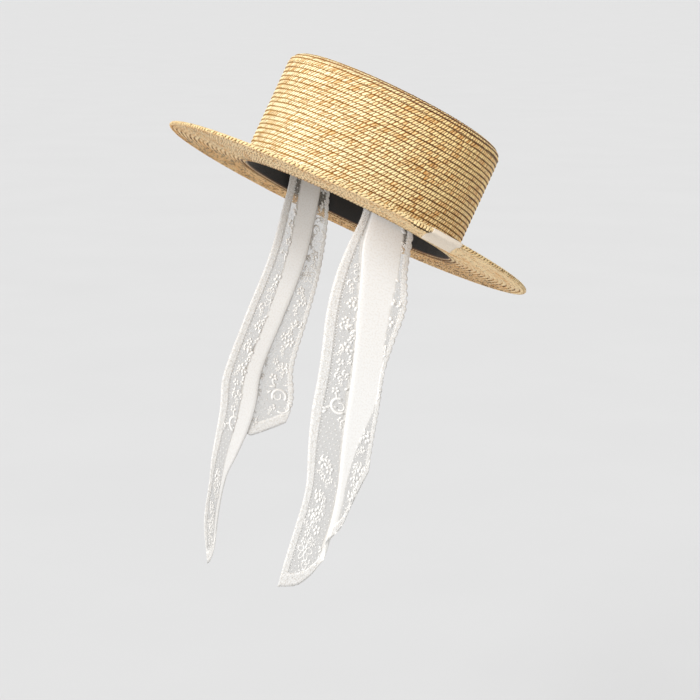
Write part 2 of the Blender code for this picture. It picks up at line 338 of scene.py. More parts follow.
def weave_group():
    """Colour and relief of a plain weave, with a thread for each whole step of the vector."""
    tree, given, made = new_group(
        "plain weave",
        {"Vector": ("Cloth",), "Color": ("Thread", "Hollow shade"), "Float": ("Slub",)},
        {"Color": ("Colour",), "Float": ("Height",)})
    axes = axes_of(tree, given["Cloth"])
    warp, weft = [
        maths(tree, "ABSOLUTE", maths(tree, "SINE", maths(tree, "MULTIPLY", axes[way], math.pi)))
        for way in ("X", "Y")]
    steps = maths(tree, "ADD", maths(tree, "FLOOR", axes["X"]), maths(tree, "FLOOR", axes["Y"]))
    over = maths(tree, "ABSOLUTE", maths(tree, "MODULO", steps, 2.0))
    height = node(tree, "Mix", {0: over, 2: warp, 3: weft}, data_type="FLOAT").outputs[0]
    slub = maths(tree, "SUBTRACT", noise(tree, given["Cloth"], 0.15, 4.0), 0.5)
    uneven = maths(tree, "MULTIPLY_ADD", slub, given["Slub"], height)
    # Painted shade: the hollows between the threads are painted in the darker hollow colour
    cloth = blend(tree, ramp(tree, uneven, 0.0, 0.8), given["Hollow shade"], given["Thread"])
    tree.links.new(cloth, made["Colour"])
    tree.links.new(uneven, made["Height"])
    return tree


def net_group():
    """Colour and mask of a fine net, with one mesh for each whole step of the vector."""
    tree, given, made = new_group(
        "fine net",
        {"Vector": ("Cloth",), "Color": ("Single layer painted shade", "Stacked shade", "Grain shade"),
         "Float": ("Thread width", "Added width", "Stacked", "Mottle", "Grain")},
        {"Color": ("Colour",), "Float": ("Thread",)})
    cell = node(
        tree, "TexVoronoi", {"Vector": given["Cloth"], "Scale": 1.0, "Randomness": 0.4},
        voronoi_dimensions="2D", feature="DISTANCE_TO_EDGE").outputs["Distance"]
    width = maths(
        tree, "MULTIPLY_ADD", given["Stacked"], given["Added width"], given["Thread width"])
    uneven = maths(tree, "SUBTRACT", noise(tree, given["Cloth"], 0.30), 0.5)
    width = maths(tree, "MULTIPLY_ADD", uneven, given["Mottle"], width)
    outer = maths(tree, "MULTIPLY", width, 1.4)
    tree.links.new(ramp(tree, cell, width, outer, 1.0, 0.0), made["Thread"])
    # Painted shade: where the net lies single its white cotton is painted a darker grey, as thin
    # net in shade looks
    shade = blend(tree, given["Stacked"], given["Single layer painted shade"], given["Stacked shade"])
    grain = ramp(tree, noise(tree, given["Cloth"], 0.75, 2.0), 0.44, 0.66, 0.0, given["Grain"])
    tree.links.new(blend(tree, grain, shade, given["Grain shade"]), made["Colour"])
    return tree


def stamp_group():
    """Mask of the painted shade round the edge of a stamped shape, whose map is 1 long at its edge.
    """
    tree, given, made = new_group(
        "painted shade at edges", {"Vector": ("Stamp",), "Float": ("Shaded edge width",)}, {"Float": ("Edge shade",)})
    far = node(tree, "VectorMath", {0: given["Stamp"]}, operation="LENGTH")
    inner = maths(tree, "SUBTRACT", 1.0, given["Shaded edge width"])
    tree.links.new(ramp(tree, far.outputs["Value"], inner, 1.0), made["Edge shade"])
    return tree


STRAW_GROUP = plaited_straw_group()
WEAVE_GROUP = weave_group()
NET_GROUP = net_group()
STAMP_GROUP = stamp_group()
CLOTH_SHEEN = 0.2
CLOSE_NET = (0.86, 0.85, 0.83, 1)


def new_material(name, **settings):
    """Start a material and set plain values on its Principled shader."""
    made = bpy.data.materials.new(name)
    made.use_nodes = True
    shader = made.node_tree.nodes["Principled BSDF"]
    for label, value in settings.items():
        shader.inputs[label.replace("_", " ")].default_value = value
    return made, made.node_tree, shader


def placed_group(tree, group, inputs):
    """Place a shared node group in a material with its own values."""
    return node(tree, "Group", inputs, node_tree=group).outputs


def own_map(tree, name):
    """Read a piece's own UV map."""
    return node(tree, "UVMap", uv_map=name).outputs[0]


def dress(tree, shader, colour, height, relief, strength=1.0):
    """Feed the shader its colour, and a height as a bump."""
    inputs = {"Height": height, "Distance": relief, "Strength": strength}
    tree.links.new(colour, shader.inputs["Base Color"])
    tree.links.new(node(tree, "Bump", inputs).outputs[0], shader.inputs["Normal"])


def straw_material(name, gloss, values):
    """Natural straw braid that follows the braid's own UV map."""
    made, tree, shader = new_material(name, Specular_IOR_Level=gloss)
    straw = placed_group(tree, STRAW_GROUP, {
        "Braid": own_map(tree, "braid"), "Row": axes_of(tree, own_map(tree, "row"))["X"],
        "Place": node(tree, "TexCoord").outputs["Object"], **values})
    tree.links.new(straw["Roughness"], shader.inputs["Roughness"])
    dress(tree, shader, straw["Colour"], straw["Height"], relief=0.00030, strength=0.8)
    return made


def cloth_material(name, thread, hollow_shade, slub, roughness, relief):
    """Woven cloth that follows the piece's own UV map, a thread for each whole step."""
    made, tree, shader = new_material(name, Roughness=roughness, Sheen_Weight=CLOTH_SHEEN)
    weave = placed_group(tree, WEAVE_GROUP, {
        "Cloth": own_map(tree, "cloth"), "Thread": thread, "Hollow shade": hollow_shade, "Slub": slub})
    dress(tree, shader, weave["Colour"], weave["Height"], relief)
    return made


def net_material(name, values):
    """Fine cotton net, open between its threads, and closer where its layers are stacked."""
    made, tree, shader = new_material(name, Roughness=0.85, Sheen_Weight=CLOTH_SHEEN)
    net = placed_group(tree, NET_GROUP, {
        "Cloth": own_map(tree, "cloth"), "Stacked": axes_of(tree, own_map(tree, "layers"))["X"],
        "Stacked shade": CLOSE_NET, "Grain shade": (0.66, 0.60, 0.52, 1), **values})
    tree.links.new(net["Thread"], shader.inputs["Alpha"])
    dress(tree, shader, net["Colour"], net["Thread"], relief=0.00010)
    return made


def lace_material(name, thread, edge_shade):
    """Close white embroidery with a darker line of painted shade round each shape's edge."""
    made, tree, shader = new_material(name, Roughness=0.8, Sheen_Weight=CLOTH_SHEEN)
    weave = placed_group(tree, WEAVE_GROUP, {
        "Cloth": own_map(tree, "cloth"), "Thread": thread, "Hollow shade": edge_shade, "Slub": 0.4})
    edge = placed_group(tree, STAMP_GROUP, {"Stamp": own_map(tree, "stamp"), "Shaded edge width": 0.30})
    # Painted shade: each shape's edge, and the weave's hollows, are painted a darker beige
    colour = blend(tree, edge["Edge shade"], weave["Colour"], edge_shade)
    dress(tree, shader, colour, weave["Height"], relief=0.00008)
    return made


# Painted light: the crown's straw is painted lighter on its lit front and warmer on its shaded back
STRAW = straw_material("sewn straw", gloss=0.5, values={
    "Pale straw": (1.0, 0.92, 0.57, 1), "Golden straw": (0.61, 0.31, 0.06, 1),
    "Strand shade": (0.19, 0.070, 0.011, 1), "Row gap shade": (0.10, 0.036, 0.007, 1),
    "Mottle": 0.35, "Row tone": 0.40, "Darker gap shade": 0.0, "Painted side light": 1.0})
UNDER_STRAW = straw_material("straw under the brim", gloss=0.05, values={
    "Pale straw": (0.98, 0.76, 0.45, 1), "Golden straw": (0.76, 0.40, 0.14, 1),
    "Strand shade": (0.12, 0.045, 0.012, 1), "Row gap shade": (0.62, 0.36, 0.15, 1),
    "Mottle": 0.9, "Row tone": 0.9, "Darker gap shade": 0.95, "Painted side light": 0.0})
# Painted shade: near-black strand and row gap colours darken the grooves between the edge's beads
EDGE_STRAW = straw_material("brim edge straw", gloss=0.1, values={
    "Pale straw": (0.90, 0.68, 0.36, 1), "Golden straw": (0.56, 0.29, 0.08, 1),
    "Strand shade": (0.04, 0.015, 0.004, 1), "Row gap shade": (0.04, 0.016, 0.005, 1),
    "Mottle": 0.45, "Row tone": 0.40, "Darker gap shade": 0.0, "Painted side light": 0.0})
BAND_CLOTH = cloth_material(
    "black ribbed ribbon", thread=(0.020, 0.018, 0.017, 1), hollow_shade=(0.004, 0.0035, 0.003, 1),
    slub=0.3, roughness=0.7, relief=0.0001)
PIPING = cloth_material(
    "brown piping", thread=(0.16, 0.075, 0.03, 1), hollow_shade=(0.06, 0.025, 0.01, 1),
    slub=0.3, roughness=0.6, relief=0.00008)
TAB_CLOTH = cloth_material(
    "cream cotton tab", thread=(0.88, 0.78, 0.65, 1), hollow_shade=(0.68, 0.56, 0.43, 1),
    slub=0.5, roughness=0.85, relief=0.00008)
# Painted shade: the single net is painted a darker grey than its white cotton
LACE_NET = net_material("cotton net", {
    "Single layer painted shade": (0.64, 0.61, 0.56, 1), "Thread width": 0.09, "Added width": 0.36,
    "Mottle": 0.08, "Grain": 0.25})
HEM_NET = net_material("doubled hem net", {
    "Single layer painted shade": CLOSE_NET, "Thread width": 0.30, "Added width": 0.12,
    "Mottle": 0.45, "Grain": 0.60})
LACE_COTTON = lace_material(
    "lace cotton", thread=(0.97, 0.96, 0.94, 1), edge_shade=(0.84, 0.81, 0.76, 1))


def place_on_hat(mesh, x, y, z):
    """Put a mesh's points at places on the upright hat, tipped back as it is worn."""
    worn = np.stack([x, y * TILT_COS + z * TILT_SIN, z * TILT_COS - y * TILT_SIN], axis=1)
    mesh.vertices.foreach_set("co", worn.ravel())


def place_on_ovals(mesh, reach, angle, height):
    """Put a mesh's points on ovals outside the opening's edge by reach."""
    x, y = (HALF_WIDTH + reach) * np.cos(angle), (HALF_DEPTH + reach) * np.sin(angle)
    place_on_hat(mesh, x, y, height)


def add_object(name, data):
    """Put a mesh, a light or a camera in the scene."""
    made = bpy.data.objects.new(name, data)
    bpy.context.scene.collection.objects.link(made)
    return made


def finish_piece(mesh, look, node_name, wall=None):
    """Put a finished mesh on the hat in the place of its solid, and thicken it if it is a sheet."""
    mesh.materials.append(look)
    mesh.shade_smooth()
    made = add_object(mesh.name, mesh)
    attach(made, "root")
    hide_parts(node_name)
    if wall:
        solid = made.modifiers.new("thickness", "SOLIDIFY")
        solid.thickness = wall
        solid.offset = 0.0
    return made


def mesh_points(mesh):
    """Read a mesh's points as rows."""
    flat = np.empty(len(mesh.vertices) * 3)
    mesh.vertices.foreach_get("co", flat)
    return flat.reshape(-1, 3)


def write_map(mesh, name, u, v, shrink=0.0):
    """Write a UV map from two values for each point, drawn in toward each face's centre."""
    corners = np.empty(len(mesh.loops), dtype=int)
    mesh.loops.foreach_get("vertex_index", corners)
    uv = np.stack([u, v], axis=1)[corners]
    starts = np.empty(len(mesh.polygons), dtype=int)
    mesh.polygons.foreach_get("loop_start", starts)
    sizes = np.diff(np.append(starts, len(uv)))
    centres = np.repeat(np.add.reduceat(uv, starts, axis=0) / sizes[:, None], sizes, axis=0)
    uv = uv + (centres - uv) * shrink
    mesh.uv_layers.new(name=name).data.foreach_set("uv", uv.ravel())


def made_mesh(name, shape):
    """Turn a finished shape into a new mesh."""
    mesh = bpy.data.meshes.new(name)
    shape.to_mesh(mesh)
    shape.free()
    return mesh


def plain_grid(name, columns, rows):
    """Make a flat grid, and return it with the column and row share of each point."""
    shape = bmesh.new()
    bmesh.ops.create_grid(shape, x_segments=columns, y_segments=rows, size=1)
    mesh = made_mesh(name, shape)
    shares = (mesh_points(mesh)[:, :2] + 1) / 2
    return mesh, shares[:, 0], shares[:, 1]


def clean_mesh(mesh):
    """Take out faces of no size."""
    shape = bmesh.new()
    shape.from_mesh(mesh)
    bmesh.ops.dissolve_degenerate(shape, dist=1e-6, edges=shape.edges)
    shape.to_mesh(mesh)
    shape.free()


def arc(centre, radius, start, end, steps=12):
    """Points of an arc in the plane of half width and height, with angles in degrees."""
    turns = [math.radians(start + (end - start) * step / steps) for step in range(steps + 1)]
    return [(centre[0] + radius * math.cos(t), centre[1] + radius * math.sin(t)) for t in turns]


def lengths_along(points):
    """Return how far along a line each of its points lies."""
    return np.concatenate([[0], np.cumsum(np.hypot(*np.diff(points, axis=0).T))])


class Profile:
    """A line in the plane of width and height, read by its length from the start."""

    def __init__(self, points):
        points = np.array(points)
        points = points[np.diff(lengths_along(points), prepend=-1) > 1e-7]
        self.far = lengths_along(points)
        self.length = self.far[-1]
        way = np.gradient(points, self.far, axis=0)
        way /= np.hypot(*way.T)[:, None]
        self.columns = (*points.T, way[:, 1], -way[:, 0])

    def at(self, far):
        """Return width, height and the two parts of the normal."""
        return [np.interp(far, self.far, column) for column in self.columns]


def oval_angles(widths, shares):
    """Return the angle round each oval at a share of its length, read from a table."""
    table_widths = np.linspace(widths.min(), widths.max() + 1e-6, 40)
    table_shares = np.linspace(0, 1, 361)
    turns = np.linspace(0, 2 * math.pi, 721)
    rows = []
    for width in table_widths:
        speed = np.hypot(width * np.sin(turns), (width + LONGER) * np.cos(turns))
        far = np.concatenate([[0], np.cumsum((speed[1:] + speed[:-1]) / 2)])
        rows.append(np.interp(table_shares, far / far[-1], turns))
    rows = np.array(rows)
    across = (widths - table_widths[0]) / (table_widths[1] - table_widths[0])
    along = shares * (len(table_shares) - 1)
    i = np.clip(across.astype(int), 0, len(table_widths) - 2)
    j = np.clip(along.astype(int), 0, len(table_shares) - 2)
    across, along = across - i, along - j
    low = rows[i, j] * (1 - along) + rows[i, j + 1] * along
    high = rows[i + 1, j] * (1 - along) + rows[i + 1, j + 1] * along
    return low * (1 - across) + high * across


def sewn_braid(name, profile, node_name, columns=4, look=STRAW, depth=1.0):
    """Sew a plaited ribbon in a spiral along a profile, each row's proud edge toward its start."""
    chance = np.random.default_rng(len(name))
    # The spiral starts a row early and ends late, so that every row is whole
    turns = np.linspace(-ROW_SECTION[-1][0], profile.length / ROW_PITCH + 0.1, SPIRAL_STEPS)
    widths = profile.at(np.clip((turns + 0.5) * ROW_PITCH, 0, profile.length))[0]
    longs = widths + LONGER
    sizes = np.pi * (3 * (widths + longs) - np.sqrt((3 * widths + longs) * (widths + 3 * longs)))
    lengths = np.concatenate([[0], np.cumsum((sizes[1:] + sizes[:-1]) / 2 * np.diff(turns))])
    count = int(lengths[-1] / STRAND_PITCH) * columns
    mesh, column, point = plain_grid(name, count, len(ROW_SECTION) - 1)
    column = np.rint(column * count).astype(int)
    point = np.rint(point * (len(ROW_SECTION) - 1)).astype(int)
    places, heights, carried = np.array(ROW_SECTION).T
    shown = places[point]
    groove = (column % columns == 0) & (point <= 1)
    phase = shown + np.where(groove, GROOVE_TUCK, 0.0)
    strand, part = np.divmod(column, columns)
    part = part / columns
    shifts = chance.uniform(-STRAND_STRAY, STRAND_STRAY, strand.max() + 2)
    slants = chance.uniform(*STRAND_LEANS, strand.max() + 2)
    place = strand + part + shifts[strand] * (1 - part) + shifts[strand + 1] * part
    slant = slants[strand] * (1 - part) + slants[strand + 1] * part
    travelled = place * STRAND_PITCH + phase * STRAND_SLANT * slant
    turn = np.interp(travelled, lengths, turns)
    knots = np.arange(travelled.min(), travelled.max() + 2 * WAVER_LENGTH, WAVER_LENGTH)
    waver = np.interp(travelled, knots, chance.uniform(-ROW_WAVER, ROW_WAVER, len(knots)))
    far = (turn + phase + waver) * ROW_PITCH
    held = np.clip(far, 0, profile.length)
    width, level, normal_width, normal_level = profile.at(held)
    relief = np.array(STRAND_SECTION)[::len(STRAND_SECTION) // columns]
    boldness = chance.uniform(*STRAND_RELIEFS, strand.max() + 1)
    lift = (heights[point] + relief[column % columns] * carried[point] * boldness[strand]) * depth
    lift = np.where(held != far, np.minimum(lift, 0.0), lift)
    half = np.maximum(width + normal_width * lift, 0.0)
    angle = oval_angles(half, turn - np.floor(turn)) + END_ANGLE
    x, y = half * np.cos(angle), (half + LONGER) * np.sin(angle)
    place_on_hat(mesh, x, y, level + normal_level * lift)
    write_map(mesh, "braid", column / columns, shown, MAP_SHRINK)
    write_map(mesh, "row", turn, turn)
    clean_mesh(mesh)
    finish_piece(mesh, look, node_name)


def top_profile(inset):
    """Points from the crown's side over its corner to the top's middle, drawn in by inset."""
    corner = (HALF_WIDTH + CROWN_WALL - CORNER_RADIUS, CROWN_HEIGHT - CORNER_RADIUS)
    points = arc(corner, CORNER_RADIUS - inset, 0, 90)
    for share in np.arange(1, 13) / 12:
        rise = TOP_RISE * (1 - (1 - share) ** 2)
        points.append((corner[0] * (1 - share), CROWN_HEIGHT - inset + rise))
    return points


def make_straw():
    """Sew the crown and the brim, outside and inside."""
    side = HALF_WIDTH + CROWN_WALL
    foot = CROWN_HEIGHT - CORNER_RADIUS
    sewn_braid("crown_side", Profile([(side, BRIM_WALL - FOOT_SINK), (side, foot)]), "crown")
    sewn_braid("crown_top", Profile(top_profile(0.0)), "crown")
    inside = top_profile(CROWN_WALL)[::-1] + [(HALF_WIDTH, foot), (HALF_WIDTH, 0.0)]
    sewn_braid("crown_inside", Profile(inside), "crown", columns=2)
    radius = BRIM_WALL / 2
    round_edge = (HALF_WIDTH + BRIM_EDGE - radius, radius)
    over = arc(round_edge, radius, 0, 90) + [(side, BRIM_WALL)]
    under = [(HALF_WIDTH, 0.0)] + arc(round_edge, radius, -90, 0)
    sewn_braid("brim_top", Profile(over), "brim")
    sewn_braid("brim_under", Profile(under), "brim", look=UNDER_STRAW, depth=UNDER_RELIEF)
    make_brim_edge()


def make_brim_edge():
    """Make the last strands that turn round the brim's edge, as a row of beads."""
    mean_square = ((HALF_WIDTH + BRIM_EDGE) ** 2 + (HALF_DEPTH + BRIM_EDGE) ** 2) / 2
    strands = int(2 * math.pi * math.sqrt(mean_square) / EDGE_STRAND)
    mesh, u, v = plain_grid("brim_edge", strands * EDGE_COLUMNS, EDGE_SIDES)
    strand = u * strands
    turn = 2 * math.pi * v
    part = np.rint(strand * EDGE_COLUMNS) % EDGE_COLUMNS / EDGE_COLUMNS
    bead = BEAD_WAIST + (1 - BEAD_WAIST) * np.sqrt(np.sin(math.pi * part))
    angle = 2 * math.pi * u + EDGE_SLANT * np.sin(turn) * 2 * math.pi / strands
    reach = BRIM_EDGE - BRIM_WALL / 2 + EDGE_OUT * bead * np.cos(turn)
    height = BRIM_WALL / 2 + EDGE_HIGH * bead * np.sin(turn)
    place_on_ovals(mesh, reach, angle, height)
    write_map(mesh, "braid", strand, EDGE_ROW_PLACE + 0.1 * v, MAP_SHRINK)
    write_map(mesh, "row", u, v)
    close_seams(mesh)
    finish_piece(mesh, EDGE_STRAW, "brim")


def close_seams(mesh):
    """Merge the points that meet at the seams and turn the faces outward."""
    shape = bmesh.new()
    shape.from_mesh(mesh)
    bmesh.ops.remove_doubles(shape, verts=shape.verts, dist=2e-6)
    bmesh.ops.holes_fill(shape, edges=[e for e in shape.edges if e.is_boundary], sides=0)
    bmesh.ops.recalc_face_normals(shape, faces=shape.faces)
    shape.to_mesh(mesh)
    shape.free()


def smooth_read(table, places, column):
    """Read a column of a table at places, smoothly between its rows."""
    table = np.array(table)
    table = table[table[:, 0].argsort()]
    keys, values = table[:, 0], table[:, column]
    places = np.clip(places, keys[0], keys[-1])
    last = len(keys) - 1
    index = np.clip(np.searchsorted(keys, places, side="right") - 1, 0, last - 1)
    span = keys[index + 1] - keys[index]
    slopes = []
    for i in (index, index + 1):
        before, after = np.maximum(i - 1, 0), np.minimum(i + 1, last)
        slopes.append((values[after] - values[before]) / (keys[after] - keys[before]) * span)
    t = (places - keys[index]) / span
    return (
        values[index] * (2 * t ** 3 - 3 * t ** 2 + 1) + slopes[0] * (t ** 3 - 2 * t ** 2 + t)
        + values[index + 1] * (3 * t ** 2 - 2 * t ** 3) + slopes[1] * (t ** 3 - t ** 2))


def eased(share):
    """Return shares from 0 to 1 with soft ends."""
    share = np.clip(share, 0.0, 1.0)
    return share * share * (3 - 2 * share)


def across_tie(cloth_share, folds, edges):
    """Return where the cloth lies between its edges, and in which layer."""
    knots = (0.0, folds[0], folds[1], 1.0)
    place = edges[0] * 0.0
    for i in range(3):
        part = (cloth_share - knots[i]) / (knots[i + 1] - knots[i])
        here = (part >= 0) & (part <= 1) | (i == 0) & (part < 0) | (i == 2) & (part > 1)
        place = np.where(here, edges[i] + (edges[i + 1] - edges[i]) * part, place)
    layer = sum(eased((cloth_share - fold + FOLD_TURN) / (2 * FOLD_TURN)) for fold in folds)
    return place, layer


def tie_top(tie, cloth_share):
    """Return how high the cloth is sewn in, at shares of its width."""
    edges = np.array(tie["rows"])[0, 1:, None] * TIE_WIDTH * np.ones_like(cloth_share)
    along, _ = across_tie(cloth_share, tie["folds"], edges)
    return (TIE_TOP_INSIDE - along * TILT_SIN) / TILT_COS


def tie_surface(tie, across, down):
    """Return world points of a tie's middle surface, from lengths across and down the cloth.

    The second value is 1 where all three layers of the folded cloth lie on each other.
    """
    cloth_share = np.clip(across / CLOTH_WIDTH, 0.0, 1.0)
    bottom = -smooth_read(tie["cut"], cloth_share, 1) * TIE_LENGTH
    height = np.maximum(tie_top(tie, cloth_share) - down, bottom)
    place = height / TIE_LENGTH
    edges = [smooth_read(tie["rows"], place, column) * TIE_WIDTH for column in range(1, 5)]
    along, layer = across_tie(cloth_share, tie["folds"], edges)
    inset = TIE_BAND_GAP + TIE_WALL / 2 + (2 - layer) * TIE_LAYER_STEP
    hat_height = along * TILT_SIN + height * TILT_COS
    free = eased(-hat_height / TIE_FREE_DROP)
    hat_along = along * TILT_COS - height * TILT_SIN
    depth = HALF_DEPTH - SEAT_GAP - BAND_WALL
    width = HALF_WIDTH - SEAT_GAP - BAND_WALL
    seated = width * np.sqrt(np.maximum(1 - (hat_along / depth) ** 2, 0.0)) - inset
    wave = TIE_WAVE * np.sin(TIE_WAVES * math.pi * place + WAVE_SLANT * cloth_share)
    hung = HALF_WIDTH - TIE_HANG_INSET - inset + wave
    out = seated + (hung - seated) * free
    stacked = eased(np.minimum(along - edges[2], edges[1] - along) / STACK_EDGE + 0.5)
    return np.stack([tie["side"] * out, along, height], axis=1), stacked


def tie_drop(tie, across):
    """Return how long the cloth is from its sewn top to its cut end."""
    cloth_share = np.clip(across / CLOTH_WIDTH, 0.0, 1.0)
    return tie_top(tie, cloth_share) + smooth_read(tie["cut"], cloth_share, 1) * TIE_LENGTH


def drape_on_tie(tie, mesh, across, down, lift=0.0):
    """Move a flat mesh onto a tie."""
    points, stacked = tie_surface(tie, across, down)
    points[:, 0] += lift
    mesh.vertices.foreach_set("co", points.ravel())
    write_map(mesh, "cloth", across / NET_PITCH, down / NET_PITCH)
    write_map(mesh, "layers", stacked, stacked)


def scallop(down):
    """How far a scalloped edge is drawn in at a length down the cloth."""
    return SCALLOP_DEPTH * (1 - np.abs(np.sin(down * math.pi / SCALLOP_LENGTH)))


def make_hems(name, tie):
    """Make the doubled hems along both long edges and the cut end of a tie."""
    made = []
    for part, width in (("front", FRONT_HEM), ("back", BACK_HEM)):
        mesh, u, v = plain_grid(name + "_" + part + "_hem", columns=4, rows=300)
        across = u * width
        if part == "back":
            across = CLOTH_WIDTH - (across + scallop(v * CLOTH_LENGTH) * (1 - u))
        drape_on_tie(tie, mesh, across, v * tie_drop(tie, across))
        made.append(finish_piece(mesh, HEM_NET, name, HEM_WALL))
    mesh, u, v = plain_grid(name + "_end_hem", columns=110, rows=4)
    across = u * CLOTH_WIDTH
    drape_on_tie(tie, mesh, across, tie_drop(tie, across) - (1 - v) * END_HEM)
    made.append(finish_piece(mesh, HEM_NET, name, LACE_WALL))
    return made


def flat_shape(name, build):
    """Make a small flat shape to stamp on the cloth, one unit long, with its own map."""
    shape = bmesh.new()
    own = shape.loops.layers.uv.new("stamp")
    place_in_shape = build(shape)
    for face in shape.faces:
        for corner in face.loops:
            corner[own].uv = place_in_shape(corner.vert.co)
    return made_mesh(name, shape)


def petal_shape(shape):
    """A filled petal that starts at the middle and points along X."""
    place = Matrix.Translation((0.5, 0, 0)) @ Matrix.Diagonal((0.5, 0.5, 1, 1))
    bmesh.ops.create_circle(shape, cap_ends=True, segments=8, radius=1, matrix=place)
    return lambda point: (2 * point.x - 1, 2 * point.y)


def dot_shape(shape):
    """A filled dot with no painted edge shade."""
    bmesh.ops.create_circle(shape, cap_ends=True, segments=6, radius=0.5)
    return lambda point: (0, 0)


def tape_shape(shape, inner, outer, turn, steps):
    """A curved tape round the middle, between two radii."""
    ends = [shape.verts.new((far, 0, 0)) for far in (inner, outer)]
    edge = shape.edges.new(ends)
    bmesh.ops.spin(
        shape, geom=ends + [edge], cent=(0, 0, 0), axis=(0, 0, 1), angle=math.radians(turn),
        steps=steps, use_merge=turn == 360)
    middle, half = (inner + outer) / 2, (outer - inner) / 2
    return lambda point: (0, (math.hypot(point.x, point.y) - middle) / half)


def ring_petal_shape(shape):
    """An open petal: a ring that starts at the middle and points along X."""
    place_in_tape = tape_shape(shape, inner=0.32, outer=0.5, turn=360, steps=12)
    aside = Vector((0.5, 0, 0))
    bmesh.ops.translate(shape, verts=shape.verts, vec=aside)
    return lambda point: place_in_tape(point - aside)


def pattern_shapes():
    """Make the small shapes that the woven pattern is made of."""
    builds = {
        "dot": dot_shape,
        "petal": petal_shape,
        "ring": ring_petal_shape,
        "curl": lambda shape: tape_shape(shape, inner=0.34, outer=0.52, turn=250, steps=11),
        "bow": lambda shape: tape_shape(shape, inner=0.40, outer=0.52, turn=120, steps=7),
    }
    return {name: flat_shape(name, build) for name, build in builds.items()}


def round_motif(kind, count, start, length, width, turn=0.0):
    """Parts of a motif set evenly round its middle, a little away from it."""
    parts = []
    for step in range(count):
        angle = turn + 360 * step / count
        away = math.radians(angle)
        parts.append((kind, start * math.cos(away), start * math.sin(away), length, width, angle))
    return parts


def leaf_spray(pairs, pitch, length, width):
    """Parts of a curved stem with pairs of leaves that get smaller."""
    bend, leaf_turn = 0.10, 48
    parts = []
    for step in range(pairs):
        along = pitch * (step - pairs / 2)
        aside = bend * along ** 2
        lean = math.degrees(math.atan(2 * bend * along))
        size = 1 - 0.5 * step / pairs
        parts.append(("petal", along, aside, pitch * 1.3, 0.7, lean))
        for side in (-1, 1):
            turn = lean + side * leaf_turn
            parts.append(("petal", along, aside, length * size, width * size, turn))
    return parts


# Each part of a motif: shape, place across and down, length, width and turn, in
# millimetres and degrees
MOTIFS = {
    "bloom": round_motif("petal", count=5, start=0.7, length=3.8, width=3.1, turn=12),
    "open": (
        round_motif("ring", count=6, start=0.8, length=5.6, width=3.4)
        + round_motif("petal", count=6, start=0.3, length=1.8, width=1.3, turn=30)),
    "spray": leaf_spray(pairs=4, pitch=2.9, length=4.2, width=2.3),
    "scroll": (
        ("curl", 0, 0, 10.0, 8.6, 60), ("curl", 0.8, 0.5, 5.0, 4.4, 250),
        ("bow", -4.4, 3.6, 10.0, 9.0, 200), ("bow", -4.0, -6.0, 8.0, 8.0, 330),
        ("petal", 3.6, -4.2, 4.6, 1.8, -40), ("petal", 3.6, -4.2, 4.0, 1.7, 25),
        ("petal", 5.0, -1.0, 3.6, 1.5, 60), ("petal", -6.4, 1.0, 3.4, 1.6, 150),
        ("petal", -6.4, 1.0, 3.0, 1.4, 215)),
}

# One run of the pattern down the cloth: motif, millimetres across and down, share of its
# own size, and turn
PATTERN_RUN = (
    ("spray", 8, 6, 0.8, 60), ("bloom", 15, 12, 0.7, 10), ("bloom", 7, 18, 0.6, 40),
    ("scroll", 12, 30, 0.9, 20), ("spray", 17, 42, 0.8, 110), ("bloom", 9, 50, 0.8, 0),
    ("spray", 7, 60, 0.7, 130), ("spray", 18, 71, 0.6, 50), ("spray", 12, 87, 0.8, 140),
    ("spray", 9, 112, 0.8, 30), ("bloom", 12, 121, 0.6, 15), ("spray", 5, 133, 0.6, 120),
    ("spray", 11, 150, 0.8, 35), ("bloom", 6, 165, 0.6, 60), ("spray", 17, 190, 0.6, 70),
    ("spray", 12, 222, 0.8, 30), ("spray", 5, 233, 0.6, 150), ("bloom", 18, 237, 0.6, 20),
    ("spray", 11, 250, 0.9, 15), ("bloom", 15, 253, 0.5, 40), ("spray", 14, 271, 0.9, 140),
    ("spray", 4, 277, 0.6, 45), ("scroll", 14, 289, 0.6, 60), ("bloom", 6, 291, 0.6, 10),
    ("bloom", 16, 55, 0.6, 30), ("open", 12, 68, 1.0, 15), ("spray", 6, 79, 0.7, 70),
    ("bloom", 16, 84, 0.8, 50), ("bloom", 8, 92, 0.7, 20), ("spray", 15, 100, 0.9, 100),
    ("bloom", 6, 106, 0.6, 35), ("spray", 13, 116, 0.9, 75), ("bloom", 17, 125, 0.7, 0),
    ("bloom", 8, 128, 0.8, 40), ("spray", 14, 136, 0.8, 95), ("bloom", 6, 141, 0.6, 15),
    ("bloom", 17, 147, 0.6, 25), ("spray", 8, 155, 0.7, 60), ("bloom", 16, 161, 0.7, 0),
    ("scroll", 11, 177, 1.15, -20), ("bloom", 7, 225, 0.9, 10), ("bloom", 15, 229, 0.8, 45),
    ("bloom", 9, 236, 0.6, 30), ("spray", 14, 240, 0.6, 60), ("bloom", 8, 254, 0.8, 5),
    ("spray", 16, 258, 0.9, 80), ("bloom", 12, 264, 0.8, 25), ("bloom", 5, 268, 0.8, 50),
    ("spray", 10, 276, 0.9, 100), ("bloom", 17, 279, 0.8, 15), ("bloom", 7, 284, 0.6, 35),
    ("open", 11, 297, 1.2, 0), ("scroll", 15, 309, 0.7, 150), ("bloom", 8, 331, 0.8, 20),
    ("bloom", 15, 335, 0.7, 50),
)
# Where the runs start across the cloth, how far they slip down, and which way they face
PATTERN_COLUMNS = ((0.009, 0.0, 1), (0.034, -0.075, -1), (0.058, 0.048, 1), (0.080, -0.030, -1))
PATTERN_SCALE = 1.3
PATTERN_SEED = 7
RUN_LENGTH = 0.340
RUN_WIDTH_MM = 23
BARE_EDGE = 0.009
LIFT_STEP = 0.000012

